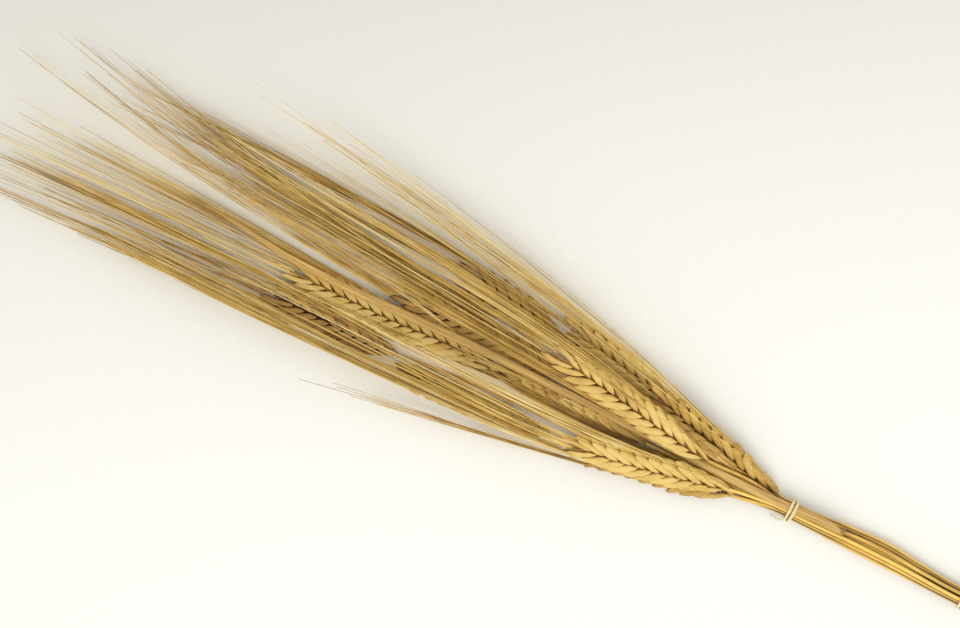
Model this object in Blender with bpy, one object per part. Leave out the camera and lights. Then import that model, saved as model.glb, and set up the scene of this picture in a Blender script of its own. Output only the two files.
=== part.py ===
"""A tied bunch of twelve bearded einkorn ears on their straws, lying on a surface.

+X runs along the straws towards their cut ends, +Z is up from the surface, and the origin
is on the surface under the front tie. Sizes in the tables are millimetres.
"""

import math
import random
from collections import namedtuple

import bmesh
import bpy
import numpy as np
from mathutils import Vector

MM = 0.001
SEED = 1753

# Straws, packed in rows inside the two ties
STRAW_RADIUS = 0.57
STRAW_SIDES = 6
SLOT_PITCH = 1.32
ROW_RISE = 1.16
FIRST_ROW_Z = 1.42
TIE_XS = (0.0, 54.0)
MIDSPAN_X = 27.0
MIDSPAN_SPREAD = 1.16
MIDSPAN_SHIFT_Y = 0.6
CUT_SPREAD = 1.30
TIE_HOLD = 3.0

# Spikelets: half of the ear's width and thickness at its fullest, and the spacing on the rachis
EAR_HALF_WIDTH = 3.5
EAR_HALF_THICKNESS = 1.8
SPIKELET_LENGTH = 9.0
SPIKELET_PITCH = 2.3
SPIKELET_LEAN = math.radians(22)
RACHIS_RADIUS = 0.5
# The widest part of a spikelet: its share of the length, half breadth, half thickness and
# outward shift
BELLY = (0.46, 1.35, 1.75, 0.20)

# Awns, three-sided needles
AWN_ROOT_RADIUS = 0.38
AWN_TIP_RADIUS = 0.14
AWN_SEGMENTS = 3
AWNS_PER_EAR = 10
AWN_CLEARANCE = 0.3
EAR_ROOM = 0.3
AWN_TRIES = 150
AWN_WANDER = 1.5

# The dried leaf that sheathes the top straws and runs up between the ears
LEAF_HALF_WIDTH = 1.15
LEAF_THICKNESS = 0.6
LEAF_ARCH = 0.45
LEAF_ROUTE = (
    (15.0, 1.3, 6.35), (7.0, 1.0, 6.4), (0.0, 0.6, 6.35), (-10.0, 0.3, 6.7), (-20.0, 0.2, 7.0),
    (-40.0, 0.4, 7.4), (-60.0, 0.8, 7.9), (-80.0, 0.8, 7.9), (-100.0, 0.9, 6.6),
    (-120.0, 0.3, 5.4), (-140.0, -0.8, 5.0), (-155.0, -0.5, 5.0), (-170.0, 0.9, 5.1),
    (-188.0, 2.3, 5.4),
)

# Cord of the ties
CORD_RADIUS = 0.40
CORD_SIDES = 6
CORD_STEPS = 18
CORD_GAP = 0.15
STRAND_SPACING = 1.1

# One stalk: slot is (place in the row, row), route the straw between the front tie and the
# ear, ear the points of its axis from base to tip, roll turns the ear's broad side up from
# the surface, awn is the length of its awns, aim the middle of their tips, fan their spread
# in Y and Z, bow how far they swing out sideways on their way, and tone runs from dull
# ochre, 0, to bright gold, 1.
Stalk = namedtuple("Stalk", "name slot cut_x route ear roll awn aim fan bow tone")

STALKS = (
    Stalk("stalk_left_far", (-1.0, 0), 88, ((-20, -3.0, 0.85), (-45, -6.4, 0.75), (-70, -7.8, 0.75),
          (-95, -8.9, 0.85), (-110, -10.4, 1.3)),
          ((-119, -11.4, 1.8), (-140, -11.8, 1.8), (-159, -11.8, 1.8)), 0, 96, (-243, -19, 3.5), (4.5, 2), -2,
          0.4),
    Stalk("stalk_right_far", (0.0, 0), 84, ((-20, 3.0, 0.9), (-40, 6.0, 0.8), (-60, 9.4, 0.8)),
          ((-78, 13.0, 1.8), (-96, 15.9, 1.8), (-114, 17.8, 1.8)), 0, 106, (-215, 22, 4.0), (4, 2), 0, 0.4),
    Stalk("stalk_right_mid", (1.0, 0), 91, ((-10, 3.6, 1.2), (-20, 6.2, 1.0), (-32, 9.4, 1.4)),
          ((-42, 11.6, 2.3), (-62, 15.3, 2.35), (-81, 17.8, 2.35)), 25, 112, (-190, 30, 13.0), (8, 4), 2, 0.5),
    Stalk("stalk_left_mid", (-1.5, 1), 86, ((-20, -4.4, 1.1), (-45, -8.3, 0.8), (-64, -11.0, 0.85)),
          ((-71, -12.2, 1.9), (-95, -14.2, 2.1), (-119, -16.0, 2.1)), -12, 98, (-212, -19, 9.0), (4.5, 4), 0,
          0.35),
    Stalk("stalk_centre_far", (-0.5, 1), 90, ((-20, -1.5, 1.4), (-45, -4.7, 0.85), (-70, -5.0, 0.8),
          (-88, -3.9, 1.1)),
          ((-97, -2.9, 1.8), (-127, -3.5, 1.8), (-157, -3.9, 1.8)), 0, 96, (-238, -3.5, 4.5), (7, 2.5), 0, 0.6),
    Stalk("stalk_centre_right", (0.5, 1), 83, ((-20, 1.1, 2.6), (-40, 1.9, 1.6), (-60, 3.0, 1.3)),
          ((-75, 4.4, 1.9), (-100, 4.1, 1.9), (-127, 4.5, 2.0)), 0, 122, (-245, 18, 6.0), (3, 1.8), -3, 0.4),
    Stalk("stalk_right_near", (1.5, 1), 87, (),
          ((-7, 3.0, 2.9), (-13, 4.5, 3.8), (-20, 6.5, 4.5), (-32, 9.3, 5.8), (-53, 13.5, 8.0)), 42, 112,
          (-155, 32, 12.0), (8, 5), 3, 0.75),
    Stalk("stalk_left_under", (-1.0, 2), 82, ((-8, -2.2, 3.7),),
          ((-17.5, -4.0, 3.6), (-40, -7.3, 3.5), (-65, -12.2, 3.5)), 0, 100, (-160, -20.5, 7.5), (7, 3), 0,
          0.7),
    Stalk("stalk_centre_near", (0.0, 2), 92, ((-20, -0.7, 3.6),),
          ((-46, -1.7, 3.8), (-70, -1.9, 3.8), (-91, -2.2, 3.9)), 76, 104, (-193, -8.5, 10.5), (5, 3), 0, 0.7),
    Stalk("stalk_right_slim", (1.0, 2), 85, ((-10, 2.5, 4.3),),
          ((-21, 3.7, 5.8), (-30, 4.8, 6.8), (-38, 6.0, 6.1), (-55, 9.0, 5.1)), 82, 108, (-160, 21, 8.5),
          (6, 3), 1, 0.85),
    Stalk("stalk_left_top", (-0.5, 3), 80, ((-10, -1.4, 5.6),),
          ((-20, -3.0, 6.9), (-40, -7.2, 8.3), (-67, -12.2, 8.6)), 42, 106, (-172, -13, 12.0), (5, 3), 0, 0.9),
    Stalk("stalk_right_top", (0.5, 3), 89, ((-10, 2.0, 5.4),),
          ((-29, 2.0, 9.0), (-40, 3.6, 10.0), (-58, 6.4, 10.5), (-82, 9.6, 10.7)), 14, 112,
          (-190, 16.5, 12.5), (6, 3), 0, 1.0),
)
OCHRE = (0.44, 0.28, 0.09)
GOLD = (0.74, 0.51, 0.13)
LEAF_TAN = (0.60, 0.42, 0.18)
THREAD_CREAM = (0.82, 0.76, 0.46)
STALK_ROUGHNESS = 0.55
LEAF_ROUGHNESS = 0.6
THREAD_ROUGHNESS = 0.8
SMOOTH_BELOW = math.radians(65)


def clear_scene():
    for obj in list(bpy.data.objects):
        bpy.data.objects.remove(obj, do_unlink=True)


def material(name, colour, roughness):
    made = bpy.data.materials.new(name)
    made.use_nodes = True
    shader = made.node_tree.nodes["Principled BSDF"]
    shader.inputs["Base Color"].default_value = (*colour, 1.0)
    shader.inputs["Roughness"].default_value = roughness
    shader.inputs["Metallic"].default_value = 0.0
    return made


def set_finish(obj, colour, roughness):
    """The object's own material, smooth shading on its round parts and crisp edges elsewhere."""
    obj.data.materials.clear()
    obj.data.materials.append(material(obj.name, colour, roughness))
    for face in obj.data.polygons:
        face.material_index = 0
    obj.data.shade_smooth()
    obj.data.set_sharp_from_angle(angle=SMOOTH_BELOW)


def slot_yz(stalk):
    """Centre of the stalk's straw where a tie holds it."""
    place, row = stalk.slot
    return place * SLOT_PITCH, FIRST_ROW_Z + row * ROW_RISE


def spread_slot(stalk, x, spread, shift_y):
    y, z = slot_yz(stalk)
    return x, y * spread + shift_y, FIRST_ROW_Z + (z - FIRST_ROW_Z) * spread


def control_points(stalk):
    """Points of the stalk's centreline from its cut end to the tip of its ear."""
    y, z = slot_yz(stalk)
    return [
        spread_slot(stalk, stalk.cut_x, CUT_SPREAD, 0.0),
        (TIE_XS[1] + TIE_HOLD, y, z),
        (TIE_XS[1] - TIE_HOLD, y, z),
        spread_slot(stalk, MIDSPAN_X, MIDSPAN_SPREAD, MIDSPAN_SHIFT_Y),
        (TIE_XS[0] + TIE_HOLD, y, z),
        (TIE_XS[0] - TIE_HOLD, y, z),
        *stalk.route,
        *stalk.ear,
    ]


def on_curve(points, x):
    """Point at x on the smooth curve through points, whose x falls from first to last."""
    p = np.array(points, float)
    t = -p[:, 0]
    slope = np.gradient(p, t, axis=0)
    i = int(np.clip(np.searchsorted(t, -x) - 1, 0, len(t) - 2))
    h = t[i + 1] - t[i]
    s = (-x - t[i]) / h
    return (
        (1 + 2 * s) * (1 - s) ** 2 * p[i]
        + s * (1 - s) ** 2 * h * slope[i]
        + s * s * (3 - 2 * s) * p[i + 1]
        + s * s * (s - 1) * h * slope[i + 1]
    )


def unit(v):
    return v / np.linalg.norm(v)


def ear_frame(points, x, roll):
    """Axis towards the ear's tip, direction of its two rows, and its flat face's normal."""
    axis = unit(on_curve(points, x - 0.5) - on_curve(points, x + 0.5))
    level = unit(np.cross(axis, (0, 0, 1)))
    up = np.cross(level, axis)
    turn = math.radians(roll)
    rows = math.cos(turn) * level + math.sin(turn) * up
    return axis, rows, np.cross(rows, axis)


def fullness(t):
    """How full the ear is at the share t of its length: it narrows at its foot and its tip."""
    return min(1.0, 0.55 + 2.6 * t, 0.62 + 1.9 * (1 - t))


def mesh_object(name, points, faces):
    mesh = bpy.data.meshes.new(name)
    mesh.from_pydata([Vector(p) * MM for p in points], [], faces)
    mesh.validate()
    obj = bpy.data.objects.new(name, mesh)
    bpy.context.scene.collection.objects.link(obj)
    return obj


def loft(name, rings):
    """A closed solid through rings of points, capped at both ends."""
    sides = len(rings[0])
    points = [p for ring in rings for p in ring]
    faces = [tuple(range(sides))[::-1]]
    for k in range(len(rings) - 1):
        for j in range(sides):
            a, b = k * sides + j, k * sides + (j + 1) % sides
            faces.append((a, b, b + sides, a + sides))
    last = (len(rings) - 1) * sides
    faces.append(tuple(range(last, last + sides)))
    return mesh_object(name, points, faces)


def tube(name, centres, radii, sides, start_angle=0.0):
    """A tube along centres whose rings keep one side level."""
    centres = [np.array(c, float) for c in centres]
    rings = []
    for k, centre in enumerate(centres):
        ahead = centres[min(k + 1, len(centres) - 1)]
        behind = centres[max(k - 1, 0)]
        axis = unit(ahead - behind)
        level = unit(np.cross(axis, (0, 0, 1)))
        up = np.cross(level, axis)
        angles = [start_angle + 2 * math.pi * j / sides for j in range(sides)]
        rings.append([centre + radii[k] * (math.cos(a) * level - math.sin(a) * up) for a in angles])
    return loft(name, rings)


def join_by_union(body, others):
    """One closed body of body and others, which are then removed."""
    repeats = bpy.data.collections.new(body.name + "_repeats")
    for obj in others:
        repeats.objects.link(obj)
    modifier = body.modifiers.new("union", "BOOLEAN")
    modifier.operation = "UNION"
    modifier.solver = "EXACT"
    modifier.operand_type = "COLLECTION"
    modifier.collection = repeats
    graph = bpy.context.evaluated_depsgraph_get()
    joined = bpy.data.meshes.new_from_object(body.evaluated_get(graph))
    body.modifiers.clear()
    body.data = joined
    for obj in list(repeats.objects):
        bpy.data.objects.remove(obj, do_unlink=True)
    bpy.data.collections.remove(repeats)
    keep_outer_shell(body)
    return body


def keep_outer_shell(body):
    """Fill the small pockets that the union leaves sealed between its pieces."""
    shape = bmesh.new()
    shape.from_mesh(body.data)
    shells = []
    left = set(shape.verts)
    while left:
        shell = {left.pop()}
        edge = list(shell)
        while edge:
            near = {e.other_vert(v) for v in edge for e in v.link_edges} - shell
            shell |= near
            edge = list(near)
        left -= shell
        shells.append(shell)
    outer = max(shells, key=len)
    for shell in shells:
        if shell is not outer:
            bmesh.ops.delete(shape, geom=list(shell), context="VERTS")
    shape.to_mesh(body.data)
    shape.free()


def straw_centres(stalk):
    """Centreline points of the straw and, past the ear's foot, of the rachis inside the ear."""
    points = control_points(stalk)
    marks = [p[0] for p in points]
    return [on_curve(points, x) for x in [*marks[:-1], marks[-1] + 2.0]]


def spikelet_places(stalk):
    """For each spikelet, lowest first: its x, its share of the ear's length and its side."""
    base_x, tip_x = stalk.ear[0][0], stalk.ear[-1][0]
    length = base_x - tip_x
    count = round((length - SPIKELET_LENGTH) / SPIKELET_PITCH) + 1
    pitch = (length - SPIKELET_LENGTH) / (count - 1)
    return [(base_x - k * pitch, k / (count - 1), 1 - 2 * (k % 2)) for k in range(count)]


def spikelet_shape(stalk, x, share, side):
    """Foot, lean, outward and face directions, length and girth of one spikelet."""
    points = control_points(stalk)
    axis, rows, face = ear_frame(points, x, stalk.roll)
    size = fullness(share)
    lean = SPIKELET_LEAN * min(1.0, 0.5 + 2.5 * share, 0.3 + 4.6 * (1 - share))
    along = math.cos(lean) * axis + math.sin(lean) * side * rows
    outward = math.cos(lean) * side * rows - math.sin(lean) * axis
    return on_curve(points, x), along, outward, face, SPIKELET_LENGTH * (0.85 + 0.15 * size), size


def spikelet(stalk, number, place):
    foot, along, outward, face, length, size = spikelet_shape(stalk, *place)
    share, breadth, thickness, shift = BELLY
    middle = foot + along * length * share + outward * shift
    points = [
        foot - along * 0.4,
        middle + outward * breadth * size,
        middle + face * thickness * size,
        middle - outward * breadth * size,
        middle - face * thickness * size,
        foot + along * length,
    ]
    faces = [f for j in range(1, 5) for f in ((0, j % 4 + 1, j), (5, j, j % 4 + 1))]
    if place[2] > 0:
        faces = [f[::-1] for f in faces]
    return mesh_object(f"{stalk.name}_spikelet_{number}", points, faces)


def segment_gap(a0, a1, b0, b1):
    """Least distance between segment a0-a1 and each of the segments b0-b1."""
    d1, d2, r = a1 - a0, b1 - b0, a0 - b0
    a = d1 @ d1
    e = np.einsum("ij,ij->i", d2, d2)
    f = np.einsum("ij,ij->i", d2, r)
    c = r @ d1
    b = d2 @ d1
    denominator = np.maximum(a * e - b * b, 1e-9)
    s = np.clip((b * f - c * e) / denominator, 0, 1)
    t = np.clip((b * s + f) / e, 0, 1)
    s = np.clip((b * t - c) / a, 0, 1)
    return np.linalg.norm(a0 + s[:, None] * d1 - b0 - t[:, None] * d2, axis=1)


class Room:
    """What is already in place, so that each new awn is bent clear of the other stalks."""

    def __init__(self):
        self.owners, self.starts, self.ends, self.radii = [], [], [], []
        self.ears = {}
        for stalk in STALKS:
            points = control_points(stalk)
            xs = np.arange(stalk.ear[-1][0] - 1.0, stalk.ear[0][0] + 1.0, 0.5)
            middles = np.array([on_curve(points, x) for x in xs])
            frames = [ear_frame(points, x, stalk.roll) for x in xs]
            rows = np.array([frame[1] for frame in frames])
            faces = np.array([frame[2] for frame in frames])
            self.ears[stalk.name] = (xs, middles, rows, faces)

    def add(self, owner, centres, radii):
        for start, end, radius in zip(centres, centres[1:], radii):
            self.owners.append(owner)
            self.starts.append(start)
            self.ends.append(end)
            self.radii.append(radius)

    def clear_of_lines(self, owner, centres, radii):
        others = np.array([o != owner for o in self.owners])
        starts, ends = np.array(self.starts)[others], np.array(self.ends)[others]
        needed = np.array(self.radii)[others] + AWN_CLEARANCE
        return all(
            (segment_gap(a, b, starts, ends) > needed + radius).all()
            for a, b, radius in zip(centres, centres[1:], radii)
        )

    def clear_of_ears(self, owner, centres):
        """Whether the line stays outside the oval round every other ear, and above the surface."""
        samples = np.concatenate([np.linspace(a, b, 30) for a, b in zip(centres, centres[1:])])
        margin = AWN_ROOT_RADIUS + AWN_CLEARANCE
        for name, (xs, middles, rows, faces) in self.ears.items():
            beside = samples[(samples[:, 0] < xs[-1]) & (samples[:, 0] > xs[0])]
            if name == owner or not len(beside):
                continue
            nearest = np.searchsorted(xs, beside[:, 0])
            away = beside - middles[nearest]
            u = np.einsum("ij,ij->i", away, rows[nearest]) / (EAR_HALF_WIDTH + EAR_ROOM + margin)
            v = np.einsum("ij,ij->i", away, faces[nearest]) / (EAR_HALF_THICKNESS + EAR_ROOM + margin)
            if (u * u + v * v).min() < 1:
                return False
        return samples[:, 2].min() > AWN_ROOT_RADIUS


def awn_path(stalk, place, draw, reach):
    """A bent line from inside a spikelet's tip to a tip drawn round the stalk's aim."""
    foot, along, outward, _, length, _ = spikelet_shape(stalk, *place)
    axis = ear_frame(control_points(stalk), place[0], stalk.roll)[0]
    root = foot + along * length * 0.6
    leaves = foot + along * length
    ear_tip = np.array(stalk.ear[-1], float)
    middle = np.array(stalk.aim, float) - ear_tip
    spread = np.array([0, stalk.fan[0] * draw.uniform(-1, 1), stalk.fan[1] * draw.uniform(-1, 1)])
    sideways = np.array([0, stalk.fan[0] * 0.35 * (outward[1]), 0])
    heading = unit(middle + spread + sideways)
    tip = leaves + heading * stalk.awn * reach
    tip[2] = max(tip[2], AWN_ROOT_RADIUS + 0.3)
    early = leaves + (0.55 * along + 0.45 * axis) * stalk.awn * 0.12
    late = leaves + heading * stalk.awn * reach * 0.6 + np.array([0, stalk.bow, 0])
    curve = []
    for k in range(1, AWN_SEGMENTS + 1):
        s = k / AWN_SEGMENTS
        curve.append(
            (1 - s) ** 3 * leaves + 3 * s * (1 - s) ** 2 * early + 3 * s * s * (1 - s) * late + s**3 * tip
        )
    return [root, *curve]


def awns(stalk, room, draw):
    """The stalk's awns, spread evenly over its spikelets."""
    places = spikelet_places(stalk)
    radii = np.linspace(AWN_ROOT_RADIUS, AWN_TIP_RADIUS, AWN_SEGMENTS + 1)
    made = []
    for k in range(AWNS_PER_EAR):
        for _ in range(AWN_TRIES):
            share = (k + draw.uniform(-AWN_WANDER, 1 + AWN_WANDER)) / AWNS_PER_EAR
            place = places[int(np.clip(share * len(places), 0, len(places) - 1))]
            centres = awn_path(stalk, place, draw, draw.uniform(0.86, 1.04))
            if room.clear_of_lines(stalk.name, centres, radii) and room.clear_of_ears(stalk.name, centres):
                room.add(stalk.name, centres, radii)
                made.append(tube(f"{stalk.name}_awn_{k}", centres, radii, 3, math.pi / 2))
                break
    return made


def build_stalk(stalk, room, draw):
    """One straw with the ear that grew on it: rachis, spikelets and awns in one body."""
    centres = straw_centres(stalk)
    base_x = stalk.ear[0][0]
    radii = [STRAW_RADIUS if c[0] >= base_x else RACHIS_RADIUS for c in centres]
    straw = tube(stalk.name, centres, radii, STRAW_SIDES, math.pi / STRAW_SIDES)
    spikelets = [spikelet(stalk, k, place) for k, place in enumerate(spikelet_places(stalk))]
    join_by_union(straw, spikelets + awns(stalk, room, draw))
    colour = [dull + (bright - dull) * stalk.tone for dull, bright in zip(OCHRE, GOLD)]
    set_finish(straw, colour, STALK_ROUGHNESS)
    return straw


def leaf_width(share):
    """Half width of the leaf at the share of its length from the torn sheath to the point."""
    return LEAF_HALF_WIDTH * min(1.0, 0.30 + 1.9 * (1 - share))


def build_leaf():
    """The arched strap of the dried sheath and blade, thin and closed, with a blunt point."""
    marks = [p[0] for p in LEAF_ROUTE]
    xs = np.linspace(marks[0], marks[-1], 27)
    rings = []
    for k, x in enumerate(xs):
        centre = on_curve(LEAF_ROUTE, x)
        half = leaf_width(k / (len(xs) - 1))
        arch = LEAF_ARCH * half / LEAF_HALF_WIDTH
        rings.append([
            centre + np.array([0, -half, 0]),
            centre + np.array([0, -half, -LEAF_THICKNESS * 0.6]),
            centre + np.array([0, 0, arch - LEAF_THICKNESS]),
            centre + np.array([0, half, -LEAF_THICKNESS * 0.6]),
            centre + np.array([0, half, 0]),
            centre + np.array([0, 0, arch]),
        ])
    leaf = loft("leaf", [ring[::-1] for ring in rings])
    set_finish(leaf, LEAF_TAN, LEAF_ROUGHNESS)
    return leaf


def cord_loop(over_leaf):
    """Points in Y and Z of the cord's centreline, drawn tight round the straws and the leaf."""
    reach = STRAW_RADIUS + CORD_GAP + CORD_RADIUS
    around = []
    for k in range(CORD_STEPS):
        angle = 2 * math.pi * (k + 0.5) / CORD_STEPS
        away = np.array([math.cos(angle), math.sin(angle)])
        held = [np.array(slot_yz(stalk)) + away * reach for stalk in STALKS]
        if over_leaf:
            held += [np.array(p) + away * (CORD_GAP + CORD_RADIUS) for p in leaf_outline()]
        around.append(max(held, key=lambda p: float(p @ away)))
    return around


def leaf_outline():
    """Edges and crest of the leaf where it passes under the front tie, in Y and Z."""
    _, y, z = on_curve(LEAF_ROUTE, TIE_XS[0])
    return [(y - LEAF_HALF_WIDTH, z), (y + LEAF_HALF_WIDTH, z), (y, z + LEAF_ARCH)]


def strand(name, x, around):
    """One closed turn of cord round the bunch at x, with a level facet underneath."""
    rings = []
    for k, here in enumerate(around):
        away = unit(around[(k + 1) % len(around)] - around[k - 1])
        outward = np.array([away[1], -away[0]])
        ring = []
        for j in range(CORD_SIDES):
            angle = 2 * math.pi * (j + 0.5) / CORD_SIDES
            radius = CORD_RADIUS / math.cos(math.pi / CORD_SIDES)
            y, z = here + outward * radius * math.cos(angle)
            ring.append((x + radius * math.sin(angle), y, z))
        rings.append(ring)
    points = [p for ring in rings for p in ring]
    faces = []
    for k in range(len(rings)):
        after = (k + 1) % len(rings)
        for j in range(CORD_SIDES):
            b = (j + 1) % CORD_SIDES
            faces.append((
                k * CORD_SIDES + j, after * CORD_SIDES + j, after * CORD_SIDES + b, k * CORD_SIDES + b,
            ))
    return mesh_object(name, points, faces)


def press_flat(obj):
    """Cut off what lies below the surface, so that the underside rests on a level facet."""
    shape = bmesh.new()
    shape.from_mesh(obj.data)
    parts = list(shape.verts) + list(shape.edges) + list(shape.faces)
    cut = bmesh.ops.bisect_plane(
        shape, geom=parts, dist=1e-7, plane_co=(0, 0, 0), plane_no=(0, 0, 1), clear_inner=True
    )
    rim = [e for e in cut["geom_cut"] if isinstance(e, bmesh.types.BMEdge)]
    bmesh.ops.holes_fill(shape, edges=rim, sides=0)
    shape.to_mesh(obj.data)
    shape.free()


def build_tie(name, x, knot_side, over_leaf):
    """Two turns of cord and the knot that joins them at the bunch's side."""
    around = cord_loop(over_leaf)
    first = strand(name, x, around)
    second = strand(name + "_turn", x + STRAND_SPACING, around)
    edge = max(p[0] * knot_side for p in around)
    knot_at = (x + STRAND_SPACING / 2, knot_side * (edge + 0.05), FIRST_ROW_Z + ROW_RISE)
    bpy.ops.mesh.primitive_ico_sphere_add(subdivisions=2, radius=MM, location=Vector(knot_at) * MM)
    knot = bpy.context.object
    knot.scale = (1.0, 0.5, 0.7)
    join_by_union(first, [second, knot])
    press_flat(first)
    set_finish(first, THREAD_CREAM, THREAD_ROUGHNESS)
    return first


def main():
    clear_scene()
    room = Room()
    for stalk in STALKS:
        centres = straw_centres(stalk)
        room.add(stalk.name, centres, [STRAW_RADIUS] * len(centres))
    room.add("leaf", [np.array(p, float) for p in LEAF_ROUTE], [LEAF_HALF_WIDTH] * len(LEAF_ROUTE))
    draw = random.Random(SEED)
    for stalk in STALKS:
        build_stalk(stalk, room, draw)
    build_leaf()
    build_tie("tie_front", TIE_XS[0], -1, True)
    build_tie("tie_rear", TIE_XS[1], 1, False)


main()
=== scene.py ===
"""The tied bunch of bearded einkorn ears, dressed and lit as in the photograph."""

import math
import random
from collections import namedtuple

import bpy
import numpy as np
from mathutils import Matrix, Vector


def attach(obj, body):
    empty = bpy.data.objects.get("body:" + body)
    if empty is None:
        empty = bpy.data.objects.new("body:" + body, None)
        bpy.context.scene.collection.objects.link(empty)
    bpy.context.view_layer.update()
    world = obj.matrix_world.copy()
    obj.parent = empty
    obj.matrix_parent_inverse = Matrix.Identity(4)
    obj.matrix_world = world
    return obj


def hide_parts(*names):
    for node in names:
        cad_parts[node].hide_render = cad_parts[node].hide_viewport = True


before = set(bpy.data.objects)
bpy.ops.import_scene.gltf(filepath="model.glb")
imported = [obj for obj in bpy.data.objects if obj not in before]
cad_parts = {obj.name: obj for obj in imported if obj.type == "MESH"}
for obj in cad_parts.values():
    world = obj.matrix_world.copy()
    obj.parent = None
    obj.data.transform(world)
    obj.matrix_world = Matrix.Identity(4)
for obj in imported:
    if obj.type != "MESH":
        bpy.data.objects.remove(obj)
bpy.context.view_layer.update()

MM = 0.001
SEED = 4021

# Where the straws lie inside the two ties, as in the solids
STRAW_RADIUS = 0.60
SLOT_PITCH = 1.32
ROW_RISE = 1.16
FIRST_ROW_Z = 1.42
TIE_XS = (0.0, 54.0)
TIE_HOLD = 3.0
MIDSPAN_X = 27.0
MIDSPAN_SPREAD = 1.45
MIDSPAN_RISE = 1.2
MIDSPAN_SHIFT_Y = 0.85
CUT_SPREAD = 1.30
STRAND_SPACING = 1.1

# Straws
STRAW_STEP = 1.6
STRAW_SIDES = 18
STRAW_SWAY = 0.05
STRAW_WIDTHS = (0.95, 1.05)
STRAW_TAPER = 0.22
RIDGE_HEIGHT = 0.02
RIDGES = 9
UPPER_ROW_THICKER = 0.01
COLLAR_ABOVE_BASE = 0.6
COLLAR_LENGTH = 0.8
COLLAR_GIRTH = 0.35
COLLAR_SHADE = 0.5
# The hollow cut end, painted darker inside as shade
MOUTH_RINGS = 4
MOUTH_WIDTH = 0.62
MOUTH_SHADE = 0.6
# Painted shade in the crevices between straws: how far it reaches, how dark and how soft it is
CREVICE_WIDTH = 0.8
CREVICE_SHADE = 1.5
CREVICE_SOFTNESS = 1.5
# Brightness of the straws that lie on top, the duller of them partly painted shade; the others lie under them
# and are drawn darker, partly painted shade besides their own tone that differs at random
DRAWN_TONES = (0.3, 0.5)
STALK_TONE_SHARE = 0.3
STRAW_TONES = {
    "stalk_right_near": 1.0, "stalk_right_slim": 0.42, "stalk_right_top": 0.62, "stalk_centre_near": 0.95,
    "stalk_left_top": 1.0, "stalk_left_under": 0.85, "stalk_left_mid": 0.75,
}
# What the materials read from end to end of a straw or an awn
ALONG_SCALE = 10

# Ears; the spikelets at an ear's base and tip are smaller and lean out less, and grow from there
BASE_SIZE, BASE_GROWTH = 0.55, 2.6
TIP_SIZE, TIP_GROWTH = 0.62, 1.9
BASE_LEAN, BASE_OPENS = 0.5, 2.5
TIP_LEAN, TIP_OPENS = 0.3, 4.6
LEAST_LENGTH, LENGTH_GROWTH = 0.85, 0.15
EAR_HALF_WIDTH = 3.5
EAR_HALF_THICKNESS = 1.8
SPIKELET_LENGTH = 7.8
SPIKELET_PITCH = 1.95
SPIKELET_LEAN = math.radians(27)
LEANS = {"stalk_right_slim": math.radians(13), "stalk_right_near": math.radians(31)}
SHORTER = {"stalk_right_near": 0.84}
HUSK_LENGTH = 6.9
HUSK_HALF_BREADTH = 1.14
HUSK_HALF_DEPTH = 0.86
HUSK_ROOT_OUT = 0.55
HUSK_ROOT_BACK = 2.2
HUSK_ASIDE = 0.42
HUSK_ARC = 0.60
HUSK_KEEL = 0.15
HUSK_LENGTHS = (0.95, 1.03)
HUSK_TILT = 0.03
SPIKELET_TONES = 0.10
HUSK_TONES = 0.06
# The slimmer husk in the middle, a little darker with painted shade between the two outer husks
INNER_HALF_BREADTH = 0.85
INNER_HALF_DEPTH = 0.95
INNER_ARC = 0.42
INNER_ROOT_OUT = 0.35
INNER_ROOT_AHEAD = 0.3
INNER_DARKER = 0.12
MIDDLE_GAP = 0.08
RACHIS_RADIUS = 0.38
RACHIS_SIDES = 10
RACHIS_STEP = 1.0
RACHIS_BEFORE_BASE = 1.0
RACHIS_SHORT_OF_TIP = 3.0
RACHIS_ZIGZAG = 0.2
# The ear's core, deep between the husks, is painted darker as shade
RACHIS_DARKER = 0.5

# Awns
AWN_ROOT_RADIUS = 0.18
AWN_TIP_RADIUS = 0.06
AWN_TAPER = 0.8
AWN_TONES = (-0.2, 0.5)
AWN_TONE_SHARE = 0.5
# Their lengths, as shares of the stalk's: most are long
LONGEST_REACH = 1.04
REACH_SPREAD = 0.42
REACH_SKEW = 1.3
BROKEN_REACHES = (0.07, 0.18)
# Where an awn starts, measured from its husk's tip
AWN_BELOW_HUSK_TIP = 0.6
AWN_OUT_OF_HUSK = 0.1
AWN_ROOT_INSIDE = 2.0
AWN_STRAIGHT = 1.2
AWN_SWAY = (0.05, 0.45)
AWN_RISE_SHARE = 0.4
SWAY_WAVES = 5
RISE_WAVES = 6
ABOVE_FLOOR = 0.05
TIP_ABOVE_FLOOR = 0.3
AWN_SEGMENTS = 16
AWN_SIDES = 5
AWNS_PER_EAR = 74
FEWER_AWNS = {
    "stalk_right_near": 11, "stalk_right_mid": 22, "stalk_right_slim": 20, "stalk_left_under": 10,
    "stalk_centre_right": 54,
}
# Degrees by which the awns of an ear's two rows open outwards
OPENING = (0.0, 4.5)
OPENINGS = {
    "stalk_left_far": (-1.5, 1.0), "stalk_left_mid": (-1.5, 0.6), "stalk_left_top": (-0.5, 1.8),
    "stalk_right_far": (-2.0, 0.6), "stalk_centre_right": (-3.0, 0.4), "stalk_left_under": (0.5, 2.5),
}
# The awns of the last spikelets cross behind the ear's tip; an ear with few awns has no more of them there
TIP_OPENING = (-14.0, 4.0)
TIP_AWNS = 10
FEW_AWNS = 20
TIP_FROM = 0.84
TIP_RUN = 0.1
TIP_SPIKELETS = 5
# How far the awns keep to their own row's side, and how much those in the middle spread
OWN_SIDE_UNTIL = 4
OWN_SIDE_REACH = 1.15
MIDDLE_REACH = 0.9
AIM_PULLS = (0.6, 1.4)
FACE_TURNS = (-0.02, 0.03)
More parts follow.
